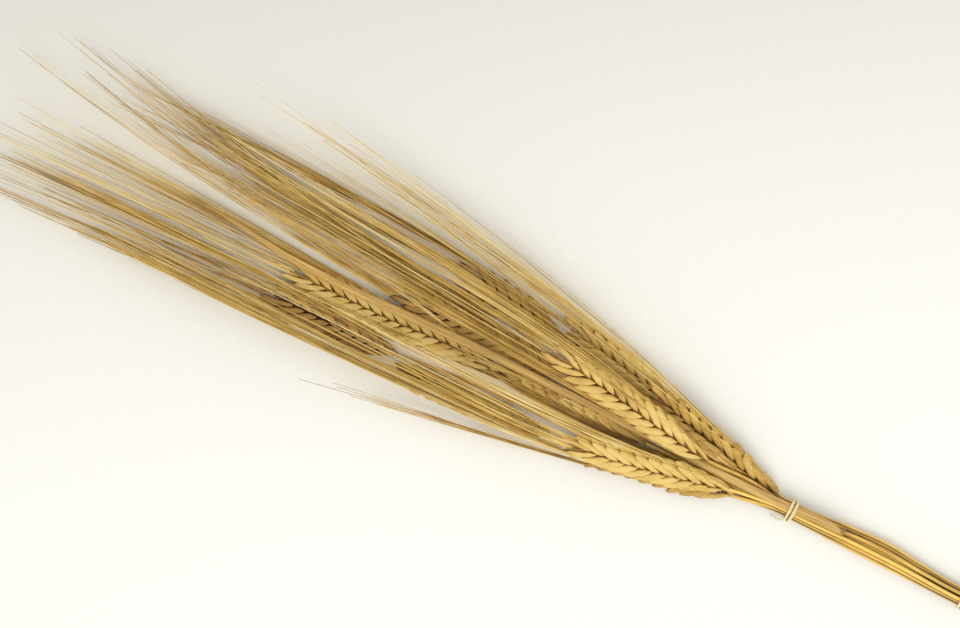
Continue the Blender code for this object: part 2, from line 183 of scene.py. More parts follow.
# Share of an awn that goes straight on from its spikelet, and where its two bends lie
HELD_LEAST, HELD_MOST = 0.1, 0.5
EARLY_BEND = 0.10
EARLY_BESIDE_EAR = 0.55
LATE_BEND = 0.4
ROOT_DETAIL = 1.25
# After this many tries an awn is a broken one, on these ears
WHOLE_AWN_TRIES = 40
BROKEN_AWNS = ("stalk_centre_near", "stalk_centre_far", "stalk_left_far", "stalk_left_mid", "stalk_left_top")
# Only the lower row's awns of this ear show, apart from the others; the rest stay on this side of an edge
APART = "stalk_left_under"
EDGE_Y = -19.5
EDGE_FALLS_FROM = -140.0
EDGE_FALL = 0.03
WIDER_FAN = 1.25
# This ear lies open to the view: no other stalk's awns run over it from OPEN_FROM on
OPEN_EAR = "stalk_centre_far"
OPEN_FROM = -118.0
OPEN_HALF_WIDTH = 2.7
HIGHEST_AWN = 16.6
SOUTHMOST_AWN = -29.6
AWN_TRIES = 60
AWN_WANDER = 1.5
# Spare room round the other ears, and how far awns may dip into their own
EAR_ROOM = 0.2
OWN_EAR_ROOM = -0.3
ROOM_STEP = 0.5
ROOM_PAST_TIP = 1.0
# Length of an ear's base that awns may pass, since it is narrow there
NARROW_BASE = 4.0

# Height under which the bunch is pressed flat by its own weight
PRESSED = 0.35

# The leaf
LEAF_HALF_WIDTH = 1.15
LEAF_THICKNESS = 0.3
LEAF_ARCH = 0.45
LEAF_STEPS = 260
LEAF_COLUMNS = 25
LEAF_POINT_WIDTH = 0.10
LEAF_POINT_WIDENS = 4.2
WAVER, WAVER_WAVES = 0.04, 40
RIB_HEIGHT, RIB_WAVES = 0.03, 34
EDGE_ROLL = 0.12
EDGE_ROLL_SHARPNESS = 6
TWIST_SHARE = 0.25
TORN_LENGTH = 1.6
TORN_SHARE = 0.6
# No awn runs over it, but for this length at its far end, or higher than this under its middle
LEAF_END_CROSSED = 12
CLEAR_UNDER_LEAF = -0.6
LEAF_ROUTE = (
    (15.0, 1.3, 6.35), (7.0, 1.0, 6.4), (0.0, 0.6, 6.35), (-10.0, 0.3, 6.7), (-20.0, 0.2, 7.0),
    (-40.0, 0.4, 7.4), (-60.0, 0.7, 7.9), (-80.0, 0.7, 7.9), (-100.0, 0.6, 6.6),
    (-120.0, -0.1, 5.4), (-140.0, -0.9, 5.0), (-155.0, -0.7, 5.0), (-170.0, 0.8, 5.1),
    (-188.0, 2.3, 5.4),
)

# The ties' thread: three plies, laid in two turns and a knot
CORD_RADIUS = 0.40
CORD_GAP = 0.15
HELD_RADIUS = 0.57
PLIES = 3
PLY_SIDES = 8
PLY_TONE = 0.5
PLY_TONES = 0.2
TURN_LEANS = (-0.12, 0.1)
LOOP_STEPS = 180
LOOP_POINTS = 260
LOOP_PLY = (0.215, 0.19)
TWIST_LENGTH = 2.2
KNOT_STEPS = 60
KNOT_POINTS = 90
KNOT_PLY = (0.17, 0.14)
KNOT_TWISTS = 4
KNOT_OUT = 0.05
END_POINTS = 40
END_PLIES = 2
END_PLY = (0.10, 0.08)
END_TWISTS = 5

# One stalk: slot is its place and row in the ties, route and ear are points from the front tie outwards.
# awn is the length of its awns, aim the point that they run to, fan how far they spread there in Y and Z, and
# bow how far they bend aside in Y. tone runs from dull ochre, 0, to bright gold, 1.
Stalk = namedtuple("Stalk", "name slot cut_x route ear roll awn aim fan bow tone")

STALKS = (
    Stalk(
        "stalk_left_far", slot=(-1.0, 0), cut_x=88,
        route=(
            (-20, -3.0, 0.85), (-45, -6.4, 0.75), (-70, -7.8, 0.75), (-95, -8.9, 0.85), (-110, -10.4, 1.3),
        ),
        ear=((-119, -11.4, 1.8), (-140, -11.8, 1.8), (-159, -11.8, 1.8)),
        roll=0, awn=96, aim=(-243, -17.5, 3.5), fan=(3.8, 2), bow=0, tone=0.4,
    ),
    Stalk(
        "stalk_right_far", slot=(0.0, 0), cut_x=84,
        route=((-20, 3.0, 0.9), (-40, 6.0, 0.8), (-60, 9.4, 0.8)),
        ear=((-78, 13.0, 1.8), (-96, 15.9, 1.8), (-114, 17.8, 1.8)),
        roll=0, awn=106, aim=(-215, 17.6, 4.0), fan=(2.2, 2), bow=0, tone=0.5,
    ),
    Stalk(
        "stalk_right_mid", slot=(1.0, 0), cut_x=91,
        route=((-10, 3.6, 1.2), (-20, 6.2, 1.0), (-32, 9.4, 1.4)),
        ear=((-42, 11.6, 2.3), (-62, 15.3, 2.35), (-81, 17.8, 2.35)),
        # tone past bright gold: partly painted light, against the shade of the awns over this ear
        roll=25, awn=112, aim=(-190, 30, 13.0), fan=(8, 4), bow=2, tone=1.1,
    ),
    Stalk(
        "stalk_left_mid", slot=(-1.5, 1), cut_x=86,
        route=((-20, -4.4, 1.1), (-45, -8.3, 0.8), (-64, -11.0, 0.85)),
        ear=((-71, -12.2, 2.4), (-95, -13.9, 2.8), (-119, -15.5, 2.8)),
        roll=-45, awn=98, aim=(-212, -15.5, 8.0), fan=(2.6, 4), bow=0, tone=0.65,
    ),
    Stalk(
        "stalk_centre_far", slot=(-0.5, 1), cut_x=90,
        route=(
            (-20, -1.5, 1.4), (-41, -2.9, 0.85), (-54, -4.7, 0.8), (-70, -5.0, 0.8), (-88, -3.9, 1.1),
        ),
        ear=((-93, -2.9, 1.8), (-127, -3.5, 1.8), (-157, -3.9, 1.8)),
        roll=0, awn=96, aim=(-238, -5.5, 4.5), fan=(4.4, 2.5), bow=0, tone=0.9,
    ),
    Stalk(
        "stalk_centre_right", slot=(0.5, 1), cut_x=83,
        route=((-20, 1.1, 2.6), (-40, 1.9, 1.6), (-60, 3.0, 1.3)),
        ear=((-75, 4.4, 1.9), (-100, 4.1, 1.9), (-127, 4.5, 2.0)),
        roll=0, awn=122, aim=(-245, 21.0, 6.0), fan=(2.0, 1.8), bow=-4, tone=0.5,
    ),
    Stalk(
        "stalk_right_near", slot=(1.5, 1), cut_x=87,
        route=(),
        ear=((-7, 2.8, 2.9), (-13, 3.8, 3.8), (-20, 5.6, 4.5), (-32, 8.4, 5.8), (-53, 12.8, 8.0)),
        roll=42, awn=112, aim=(-155, 28, 12.0), fan=(8, 5), bow=3, tone=0.75,
    ),
    Stalk(
        "stalk_left_under", slot=(-1.0, 2), cut_x=82,
        route=((-8, -2.2, 3.7),),
        ear=((-17.5, -4.0, 3.6), (-40, -7.3, 3.5), (-65, -12.2, 3.5)),
        roll=0, awn=112, aim=(-152, -26.5, 6.0), fan=(2.2, 2), bow=0, tone=0.7,
    ),
    Stalk(
        "stalk_centre_near", slot=(0.0, 2), cut_x=92,
        route=((-20, -0.7, 3.6), (-39, -1.6, 3.6)),
        ear=((-46, -1.7, 3.8), (-70, -1.9, 3.8), (-91, -2.2, 3.9)),
        roll=76, awn=104, aim=(-193, -7.5, 10.5), fan=(7, 3), bow=0, tone=0.78,
    ),
    Stalk(
        "stalk_right_slim", slot=(1.0, 2), cut_x=85,
        route=((-10, 2.5, 4.3),),
        ear=((-21, 3.7, 5.8), (-30, 4.8, 6.8), (-38, 6.0, 6.1), (-55, 9.0, 5.1)),
        roll=82, awn=108, aim=(-160, 21, 8.5), fan=(6, 3), bow=1, tone=0.6,
    ),
    Stalk(
        "stalk_left_top", slot=(-0.5, 3), cut_x=80,
        route=((-10, -1.4, 5.6),),
        ear=((-20, -3.0, 6.9), (-40, -7.2, 8.3), (-67, -12.2, 8.6)),
        roll=42, awn=106, aim=(-172, -11.5, 12.0), fan=(4.4, 3), bow=0, tone=0.95,
    ),
    Stalk(
        "stalk_right_top", slot=(0.5, 3), cut_x=89,
        route=((-10, 2.0, 5.4),),
        ear=((-29, 2.0, 9.0), (-40, 3.6, 10.0), (-58, 6.4, 10.5), (-82, 9.6, 10.7)),
        roll=14, awn=112, aim=(-190, 17.0, 12.5), fan=(2.6, 3), bow=0, tone=0.88,
    ),
)


# Lines of the bunch, by the same rules as the solids

# Half the length over which an ear's direction is taken
AXIS_STEP = 0.5
# A little over a full turn, in radians
ANY_PHASE = 6.3


def slot_yz(stalk):
    """Middle of a straw inside the ties."""
    place, row = stalk.slot
    return place * SLOT_PITCH, FIRST_ROW_Z + row * ROW_RISE


def spread_slot(stalk, x, spread, rise, shift_y):
    """Middle of a straw at x, outside the ties, where the straws lie further apart."""
    y, z = slot_yz(stalk)
    return x, y * spread + shift_y, FIRST_ROW_Z + (z - FIRST_ROW_Z) * rise


def control_points(stalk):
    """Points of a stalk from its cut end to its ear's tip."""
    y, z = slot_yz(stalk)
    return [
        spread_slot(stalk, stalk.cut_x, CUT_SPREAD, CUT_SPREAD, 0.0),
        (TIE_XS[1] + TIE_HOLD, y, z),
        (TIE_XS[1] - TIE_HOLD, y, z),
        spread_slot(stalk, MIDSPAN_X, MIDSPAN_SPREAD, MIDSPAN_RISE, MIDSPAN_SHIFT_Y),
        (TIE_XS[0] + TIE_HOLD, y, z),
        (TIE_XS[0] - TIE_HOLD, y, z),
        *stalk.route,
        *stalk.ear,
    ]


def on_curve(points, xs):
    """Points at the given xs on the smooth curve through points, whose x falls along it."""
    p = np.array(points, float)
    xs = np.atleast_1d(np.asarray(xs, float))
    t = -p[:, 0]
    slope = np.gradient(p, t, axis=0)
    i = np.clip(np.searchsorted(t, -xs) - 1, 0, len(t) - 2)
    h = (t[i + 1] - t[i])[:, None]
    s = (-xs - t[i])[:, None] / h
    return (
        (1 + 2 * s) * (1 - s) ** 2 * p[i]
        + s * (1 - s) ** 2 * h * slope[i]
        + s * s * (3 - 2 * s) * p[i + 1]
        + s * s * (s - 1) * h * slope[i + 1]
    )


def unit(v):
    return v / np.linalg.norm(v, axis=-1, keepdims=True)


def either_way(draw, size):
    return draw.uniform(-size, size)


def ear_frames(points, xs, roll):
    """Axis towards the ear's tip, direction of its two rows and its flat face's normal, at each x."""
    xs = np.atleast_1d(np.asarray(xs, float))
    axis = unit(on_curve(points, xs - AXIS_STEP) - on_curve(points, xs + AXIS_STEP))
    level = unit(np.cross(axis, (0, 0, 1)))
    up = np.cross(level, axis)
    turn = math.radians(roll)
    rows = math.cos(turn) * level + math.sin(turn) * up
    return axis, rows, np.cross(rows, axis)


def fullness(share):
    """Size of the spikelet at a share of its ear's length."""
    return min(1.0, BASE_SIZE + BASE_GROWTH * share, TIP_SIZE + TIP_GROWTH * (1 - share))


# Meshes

SHARP_EDGE = math.radians(60)
FIRST_SIDE = np.array([0.0, 0.0, 1.0])


class Shape:
    """Gathers tubes and strips into one mesh, with what the materials read at each point."""

    def __init__(self):
        self.points, self.faces, self.along, self.around, self.tone = [], [], [], [], []
        self.count = 0

    def add(self, rings, tone, along=None):
        """Skin a closed solid over rings, an array of n rings by m points by 3.

        What would lie under the surface is pressed flat on it.
        """
        n, m = rings.shape[:2]
        rings = rings.copy()
        height = rings[..., 2]
        pressed = PRESSED * np.exp(np.minimum(0, height / PRESSED - 1))
        rings[..., 2] = np.where(height < PRESSED, pressed, height)
        along = np.linspace(0, 1, n) if along is None else np.asarray(along, float)
        self.points.append(rings.reshape(-1, 3))
        self.along.append(np.repeat(along, m))
        self.around.append(np.tile(np.arange(m) / m, n))
        tone = np.asarray(tone, float)
        self.tone.append(np.broadcast_to(tone[:, None] if tone.ndim == 1 else tone, (n, m)).ravel())
        base = self.count
        k, j = np.meshgrid(np.arange(n - 1), np.arange(m), indexing="ij")
        a = base + k * m + j
        b = base + k * m + (j + 1) % m
        self.faces += np.stack([a, b, b + m, a + m], -1).reshape(-1, 4).tolist()
        self.faces.append(list(range(base, base + m))[::-1])
        self.faces.append(list(range(base + (n - 1) * m, base + n * m)))
        self.count += n * m

    def build(self, name, finish, nodes=()):
        points = np.concatenate(self.points) * MM
        mesh = bpy.data.meshes.new(name)
        mesh.from_pydata(points.tolist(), [], self.faces)
        for key, values in (("along", self.along), ("around", self.around), ("tone", self.tone)):
            attribute = mesh.attributes.new(key, "FLOAT", "POINT")
            attribute.data.foreach_set("value", np.concatenate(values).astype(np.float32))
        mesh.shade_smooth()
        mesh.set_sharp_from_angle(angle=SHARP_EDGE)
        mesh.materials.append(finish)
        obj = bpy.data.objects.new(name, mesh)
        bpy.context.scene.collection.objects.link(obj)
        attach(obj, "root")
        if nodes:
            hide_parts(*nodes)
        return obj


def frames_along(centres):
    """Two directions square to a line at each of its points, turning as little as they can."""
    centres = np.asarray(centres, float)
    axis = unit(np.gradient(centres, axis=0))
    first = FIRST_SIDE - axis[0] * (FIRST_SIDE @ axis[0])
    sides = [unit(first)]
    for k in range(1, len(axis)):
        side = sides[-1] - axis[k] * (sides[-1] @ axis[k])
        sides.append(unit(side))
    sides = np.array(sides)
    return sides, np.cross(axis, sides)


def tube_rings(centres, radii, sides, ridge=0.0, ridges=0):
    """Rings round a line, with fine ridges along it."""
    centres = np.asarray(centres, float)
    radii = np.broadcast_to(np.asarray(radii, float), (len(centres),))
    one, two = frames_along(centres)
    angle = 2 * math.pi * np.arange(sides) / sides
    wave = 1 + ridge * np.cos(angle * ridges)
    c, s = np.cos(angle) * wave, np.sin(angle) * wave
    return (
        centres[:, None, :]
        + radii[:, None, None] * (c[None, :, None] * one[:, None, :] + s[None, :, None] * two[:, None, :])
    )


# Straws

def bumpy_line(points, xs, draw, size):
    """The curve at xs with a slow random sway, nothing at its ends."""
    centres = on_curve(points, xs)
    t = np.linspace(0, 1, len(xs))
    fade = np.sin(math.pi * t)
    for axis in (1, 2):
        phase, waves = draw.uniform(0, ANY_PHASE), draw.uniform(3, 6)
        centres[:, axis] += size * fade * np.sin(waves * 2 * math.pi * t + phase)
    return centres


def straw(stalk, draw, finish):
    shape = Shape()
    points = control_points(stalk)
    base_x = stalk.ear[0][0]
    xs = np.concatenate([np.arange(stalk.cut_x, base_x, -STRAW_STEP), [base_x]])
    centres = bumpy_line(points, xs, draw, STRAW_SWAY)
    width = STRAW_RADIUS * draw.uniform(*STRAW_WIDTHS) + UPPER_ROW_THICKER * stalk.slot[1]
    shares = (stalk.cut_x - xs) / (stalk.cut_x - base_x)
    radii = width * (1 - STRAW_TAPER * shares)
    # Straws under the others come out darker: partly painted shade
    drawn_tone = stalk.tone * STALK_TONE_SHARE + draw.uniform(*DRAWN_TONES)
    tone = np.full(len(xs), STRAW_TONES.get(stalk.name, drawn_tone))
    # The collar under the ear
    collar = np.exp(-((xs - base_x - COLLAR_ABOVE_BASE) / COLLAR_LENGTH) ** 2)
    radii = radii * (1 + COLLAR_GIRTH * collar)
    tone = tone - COLLAR_SHADE * collar
    wall = tube_rings(centres, radii, STRAW_SIDES, RIDGE_HEIGHT, RIDGES)
    # Painted shade in the crevices beside the other straws
    tone = np.repeat(tone[:, None], STRAW_SIDES, axis=1)
    for other in STALKS:
        if other is not stalk:
            line = on_curve(control_points(other), np.clip(xs, other.ear[0][0], other.cut_x))
            gap = np.linalg.norm(wall - line[:, None, :], axis=-1) - STRAW_RADIUS
            tone = tone - CREVICE_SHADE * np.clip(1 - gap / CREVICE_WIDTH, 0, 1) ** CREVICE_SOFTNESS
    # The hollow end, darker inside with painted shade
    inside = slice(0, MOUTH_RINGS)
    mouth = tube_rings(centres[inside], radii[inside] * MOUTH_WIDTH, STRAW_SIDES)[::-1]
    shape.add(
        np.concatenate([mouth, wall]),
        np.concatenate([tone[inside] - MOUTH_SHADE, tone]),
        along=np.concatenate([shares[inside], shares]) * ALONG_SCALE,
    )
    return shape.build(stalk.name + "_straw", finish)


# Ears

def spikelet_places(stalk):
    """Each spikelet's x, its share of the ear's length and its row, 1 or -1."""
    base_x, tip_x = stalk.ear[0][0], stalk.ear[-1][0]
    length = base_x - tip_x
    count = round((length - SPIKELET_LENGTH) / SPIKELET_PITCH) + 1
    pitch = (length - SPIKELET_LENGTH) / (count - 1)
    return [(base_x - k * pitch, k / (count - 1), 1 - 2 * (k % 2)) for k in range(count)]


def spikelet_shape(stalk, points, x, share, side):
    """Foot, lean, outward and face directions, length and girth of one spikelet."""
    axis, rows, face = (v[0] for v in ear_frames(points, x, stalk.roll))
    size = fullness(share)
    opened = min(1.0, BASE_LEAN + BASE_OPENS * share, TIP_LEAN + TIP_OPENS * (1 - share))
    lean = LEANS.get(stalk.name, SPIKELET_LEAN) * opened
    along = math.cos(lean) * axis + math.sin(lean) * side * rows
    outward = math.cos(lean) * side * rows - math.sin(lean) * axis
    length = SPIKELET_LENGTH * (LEAST_LENGTH + LENGTH_GROWTH * size) * SHORTER.get(stalk.name, 1.0)
    return on_curve(points, x)[0], along, outward, face, length, size


# A husk's half breadth and half depth at shares of its length
HUSK_PROFILE = (
    (0.0, 0.55, 0.50), (0.05, 0.74, 0.72), (0.13, 0.86, 0.87), (0.24, 0.94, 0.96), (0.38, 0.99, 1.0),
    (0.52, 1.0, 1.0), (0.65, 0.99, 0.96), (0.76, 0.94, 0.88), (0.85, 0.84, 0.76), (0.92, 0.66, 0.58),
    (0.965, 0.42, 0.36), (1.0, 0.10, 0.09),
)
HUSK_SIDES = 14
HUSK_SQUARENESS = 3.0
# The husk's narrow tip bends outwards from here on, over this share of its length
HUSK_BEAK = 0.45
BEAK_FROM = 0.45
BEAK_RUN = 0.2
BEAK_LIFT = 0.25
LIFT_AT_FOOT, LIFT_GROWTH = 0.6, 1.2
KEEL_ANGLE = math.radians(52)
KEEL_WIDTH = 0.30
# Painted shade: how much darker its inner side, its outer side's foot and its edge on the middle plane are,
# where neighbours cover them
SIDE_SHARPNESS = 6
INNER_SHADE = 0.95
SHADE_AT_FOOT, SHADE_GROWTH = 0.4, 0.6
OUTER_SHADE = 0.45
OUTER_SHADE_FADES = 2.0
PLANE_SHADE = 0.35
PLANE_SHADE_WIDTH = 0.10


def husk(shape, root, along, outward, face, length, breadth, depth, keel, arc, lift, tone, middle_plane):
    """One boat-shaped husk: a keel stands out between its broad side and its outer side.

    arc bows its middle outward, and lift raises its middle off the ear's core. middle_plane is a point on the
    ear's middle plane and the direction away from it: the husk stops a little short of that plane.
    """
    shares = np.array([p[0] for p in HUSK_PROFILE])
    half = np.array([p[1] for p in HUSK_PROFILE]) * breadth
    deep = np.array([p[2] for p in HUSK_PROFILE]) * depth
    angle = 2 * math.pi * np.arange(HUSK_SIDES) / HUSK_SIDES
    bow = 4 * shares * (1 - shares)
    beak = HUSK_BEAK * (breadth - half) * np.clip((shares - BEAK_FROM) / BEAK_RUN, 0, 1)
    lifted = lift * np.minimum(1, LIFT_AT_FOOT + shares * LIFT_GROWTH) + beak * BEAK_LIFT
    middle = (
        root
        + along * (shares * length)[:, None]
        + outward * (arc * bow + beak)[:, None]
        + face * lifted[:, None]
    )
    c, s = np.cos(angle), np.sin(angle)
    round_off = (np.abs(c) ** HUSK_SQUARENESS + np.abs(s) ** HUSK_SQUARENESS) ** (-1 / HUSK_SQUARENESS)
    bulge = round_off * (1 + keel * np.exp(-(((angle - KEEL_ANGLE) / KEEL_WIDTH) ** 2)))
    rings = (
        middle[:, None, :]
        + (half[:, None] * (c * bulge))[..., None] * outward
        + (deep[:, None] * (s * bulge))[..., None] * face
    )
    # Painted shade in the gaps beside it and at its foot
    inner = np.maximum(0, -c)[None, :] ** SIDE_SHARPNESS
    outer = np.maximum(0, c)[None, :] ** SIDE_SHARPNESS
    near_foot = np.clip(1 - OUTER_SHADE_FADES * shares, 0, 1)[:, None]
    shade = tone - INNER_SHADE * inner * (SHADE_AT_FOOT + SHADE_GROWTH * shares[:, None])
    shade = shade - OUTER_SHADE * outer * near_foot
    on_plane, away = middle_plane
    short = MIDDLE_GAP - (rings - on_plane) @ away
    rings = rings + np.maximum(0, short)[..., None] * away
    # Painted shade on its edge at the ear's middle plane
    shade = shade - PLANE_SHADE * np.clip(1 + short / PLANE_SHADE_WIDTH, 0, 1)
    if np.cross(outward, face) @ along < 0:
        rings, shade = rings[:, ::-1], shade[:, ::-1]
    shape.add(rings, shade, along=shares)


def spikelet(shape, stalk, points, place, draw):
    """Two keeled husks on the broad faces and a slimmer one between them that bears the awn."""
    foot, along, outward, face, length, size = spikelet_shape(stalk, points, *place)
    middle_plane = foot, ear_frames(points, place[0], stalk.roll)[1][0] * place[2]
    along = unit(along + face * either_way(draw, HUSK_TILT) + outward * either_way(draw, HUSK_TILT))
    outward = unit(outward - along * (outward @ along))
    face = np.cross(along, outward)
    tone = stalk.tone + either_way(draw, SPIKELET_TONES)
    longer = HUSK_LENGTH / SPIKELET_LENGTH * length
    for side in (1, -1):
        root = foot + face * side * HUSK_ASIDE * size + outward * HUSK_ROOT_OUT - along * HUSK_ROOT_BACK
        husk(
            shape, root, along, outward, face * side, longer * draw.uniform(*HUSK_LENGTHS) + HUSK_ROOT_BACK,
            HUSK_HALF_BREADTH * size, HUSK_HALF_DEPTH * size, HUSK_KEEL, HUSK_ARC, HUSK_ASIDE * size,
            tone + either_way(draw, HUSK_TONES), middle_plane,
        )
    root = foot + outward * (HUSK_ROOT_OUT + INNER_ROOT_OUT) + along * INNER_ROOT_AHEAD
    husk(
        shape, root, along, outward, face, length - INNER_ROOT_AHEAD,
        INNER_HALF_BREADTH * size, INNER_HALF_DEPTH * size, 0.0, INNER_ARC, 0.0,
        # darker with painted shade between the outer husks
        tone - INNER_DARKER, middle_plane,
    )


def ear(stalk, draw, finish):
    shape = Shape()
    points = control_points(stalk)
    base_x, tip_x = stalk.ear[0][0], stalk.ear[-1][0]
    xs = np.arange(base_x + RACHIS_BEFORE_BASE, tip_x + RACHIS_SHORT_OF_TIP, -RACHIS_STEP)
    centres = on_curve(points, xs)
    _, rows, _ = ear_frames(points, xs, stalk.roll)
    zigzag = RACHIS_ZIGZAG * np.sin(math.pi * (base_x - xs) / SPIKELET_PITCH)
    rachis = tube_rings(centres + rows * zigzag[:, None], RACHIS_RADIUS, RACHIS_SIDES)
    # The core, darker with painted shade where it shows between the husks
    shape.add(rachis, stalk.tone - RACHIS_DARKER)
    for place in spikelet_places(stalk):
        spikelet(shape, stalk, points, place, draw)
    return shape.build(stalk.name + "_ear", finish)


# Awns

class EarRoom:
    """The oval room of each ear, so that no awn of another stalk runs through it."""

    def __init__(self):
        self.ears = {}
        for stalk in STALKS:
            points = control_points(stalk)
            xs = np.arange(stalk.ear[-1][0] - ROOM_PAST_TIP, stalk.ear[0][0] - NARROW_BASE, ROOM_STEP)
            self.ears[stalk.name] = (xs, on_curve(points, xs), *ear_frames(points, xs, stalk.roll)[1:])

    def is_clear(self, owner, centres, of_own_ear):
        """Whether an awn of owner keeps off the ears, the floor, the leaf and the places left open."""
        if owner != OPEN_EAR:
            xs, middles = self.ears[OPEN_EAR][:2]
            above = centres[(centres[:, 0] < OPEN_FROM) & (centres[:, 0] > xs[0])]
            aside = np.abs(above - middles[np.searchsorted(xs, above[:, 0])])[:, 1]
            if len(above) and aside.min() < OPEN_HALF_WIDTH:
                return False
        for name, (xs, middles, rows, faces) in self.ears.items():
            if name == owner and not of_own_ear:
                continue
            line = centres[3:] if name == owner else centres
            beside = line[(line[:, 0] < xs[-1]) & (line[:, 0] > xs[0])]
            if not len(beside):
                continue
            nearest = np.searchsorted(xs, beside[:, 0])
            away = beside - middles[nearest]
            spare = OWN_EAR_ROOM if name == owner else EAR_ROOM
            u = np.einsum("ij,ij->i", away, rows[nearest]) / (EAR_HALF_WIDTH + spare)
            v = np.einsum("ij,ij->i", away, faces[nearest]) / (EAR_HALF_THICKNESS + spare)
            if (u * u + v * v).min() < 1:
                return False
        if centres[:, 2].min() < AWN_ROOT_RADIUS or centres[:, 2].max() > HIGHEST_AWN:
            return False
        edge = EDGE_Y - EDGE_FALL * np.maximum(0, EDGE_FALLS_FROM - centres[:, 0])
        if (centres[:, 1] < (SOUTHMOST_AWN if owner == APART else edge)).any():
            return False
        last_x = LEAF_ROUTE[-1][0] + LEAF_END_CROSSED
        beside = centres[(centres[:, 0] < LEAF_ROUTE[0][0]) & (centres[:, 0] > last_x)]
        if not len(beside):
            return True
        away = beside - on_curve(LEAF_ROUTE, beside[:, 0])
        return not ((np.abs(away[:, 1]) < LEAF_HALF_WIDTH) & (away[:, 2] > CLEAR_UNDER_LEAF)).any()


def awn_path(stalk, points, place, draw, reach):
    """A smooth line from inside a spikelet's tip, out along its ear and on towards the stalk's aim."""
    foot, along, outward, _, length, _ = spikelet_shape(stalk, points, *place)
    axis, rows, face = (v[0] for v in ear_frames(points, place[0], stalk.roll))
    at_tip = min(1.0, max(0.0, (place[1] - TIP_FROM) / TIP_RUN))
    # Some of the last spikelets' awns come out between the two rows
    inner = at_tip * draw.uniform(0.0, 1.0)
    leaves = foot + unit(along * (1 - inner) + axis * inner) * (length - AWN_BELOW_HUSK_TIP)
    leaves = leaves + outward * (HUSK_ROOT_OUT + AWN_OUT_OF_HUSK) * (1 - inner)
    middle = np.array(stalk.aim, float) - np.array(stalk.ear[-1], float)
    # Each row's awns keep to their own side, and those of the last spikelets close the middle
    own_side = place[2] * rows[1] * min(1, OWN_SIDE_UNTIL * (1 - place[1]))
    across = own_side * draw.uniform(0.0, OWN_SIDE_REACH)
    across += (1 - abs(own_side)) * either_way(draw, MIDDLE_REACH)
    spread = np.array([0, WIDER_FAN * stalk.fan[0] * across, stalk.fan[1] * either_way(draw, 1)])
    far = unit(middle + spread)
    # At the ear's tip they cross, so that they close the gap behind it
    beside = draw.uniform(*OPENINGS.get(stalk.name, OPENING))
    opening = math.tan(math.radians((1 - at_tip) * beside + at_tip * draw.uniform(*TIP_OPENING)))
    outward_pull = place[2] * (far @ rows) / (far @ axis) * (1 - at_tip)
    outward_turn = max(opening, outward_pull * draw.uniform(*AIM_PULLS)) if at_tip < 1 else opening
    near = unit(axis + place[2] * rows * outward_turn + face * draw.uniform(*FACE_TURNS))
    long = stalk.awn * reach
    # It follows its ear up to the ear's tip, then turns towards the aim
    beside_ear = max(0.0, (leaves[0] - stalk.ear[-1][0]) / -axis[0])
    held = min(HELD_MOST, max(HELD_LEAST, beside_ear / long))
    tip = leaves + (held * near + (1 - held) * far) * long
    tip[2] = max(tip[2], AWN_ROOT_RADIUS + TIP_ABOVE_FLOOR)
    early = leaves + along * AWN_STRAIGHT + near * max(EARLY_BEND * long, EARLY_BESIDE_EAR * beside_ear)
    late = tip - far * long * LATE_BEND + np.array([0, stalk.bow, 0])
    s = np.linspace(0, 1, AWN_SEGMENTS + 1)[:, None] ** ROOT_DETAIL
    curve = (1 - s) ** 3 * leaves + 3 * s * (1 - s) ** 2 * early + 3 * s * s * (1 - s) * late + s**3 * tip
    sway, phase = draw.uniform(*AWN_SWAY), draw.uniform(0, ANY_PHASE)
    t = s[:, 0]
    curve[:, 1] += sway * t * np.sin(SWAY_WAVES * t + phase)
    height = curve[:, 2] + AWN_RISE_SHARE * sway * t * np.sin(RISE_WAVES * t + phase * 2)
    curve[:, 2] = np.maximum(height, AWN_ROOT_RADIUS + ABOVE_FLOOR)
    return np.concatenate([[leaves - along * AWN_ROOT_INSIDE], curve])


def drawn_place(places, k, wanted, draw):
    """The spikelet that bears awn k of those wanted, or one of the last ones."""
    share = (k + draw.uniform(-AWN_WANDER, 1 + AWN_WANDER)) / wanted
    if share < 1:
        return places[max(0, int(share * len(places)))]
    return places[-1 - draw.randrange(TIP_SPIKELETS)]


def awns(stalk, room, draw, finish):
    shape = Shape()
    points = control_points(stalk)
    places = spikelet_places(stalk)
    wanted = FEWER_AWNS.get(stalk.name, AWNS_PER_EAR)
    broken = stalk.name in BROKEN_AWNS
    for k in range(wanted + (TIP_AWNS if wanted > FEW_AWNS else 0)):
        for attempt in range(AWN_TRIES):
            place = drawn_place(places, k, wanted, draw)
            if attempt < WHOLE_AWN_TRIES or not broken:
                reach = LONGEST_REACH - REACH_SPREAD * draw.random() ** REACH_SKEW
            else:
                reach = draw.uniform(*BROKEN_REACHES)
            if stalk.name == APART and place[2] > 0:
                continue
            centres = awn_path(stalk, points, place, draw, reach)
            if room.is_clear(stalk.name, centres[1:], place[1] < TIP_FROM):
                t = np.concatenate([[0], np.linspace(0, 1, len(centres) - 1)])
                radii = AWN_TIP_RADIUS + (AWN_ROOT_RADIUS - AWN_TIP_RADIUS) * (1 - t) ** AWN_TAPER
                tone = stalk.tone * AWN_TONE_SHARE + draw.uniform(*AWN_TONES)
                shape.add(tube_rings(centres, radii, AWN_SIDES), tone, along=t * ALONG_SCALE)
                break
    return shape.build(stalk.name + "_awns", finish, nodes=(stalk.name,))


# The leaf

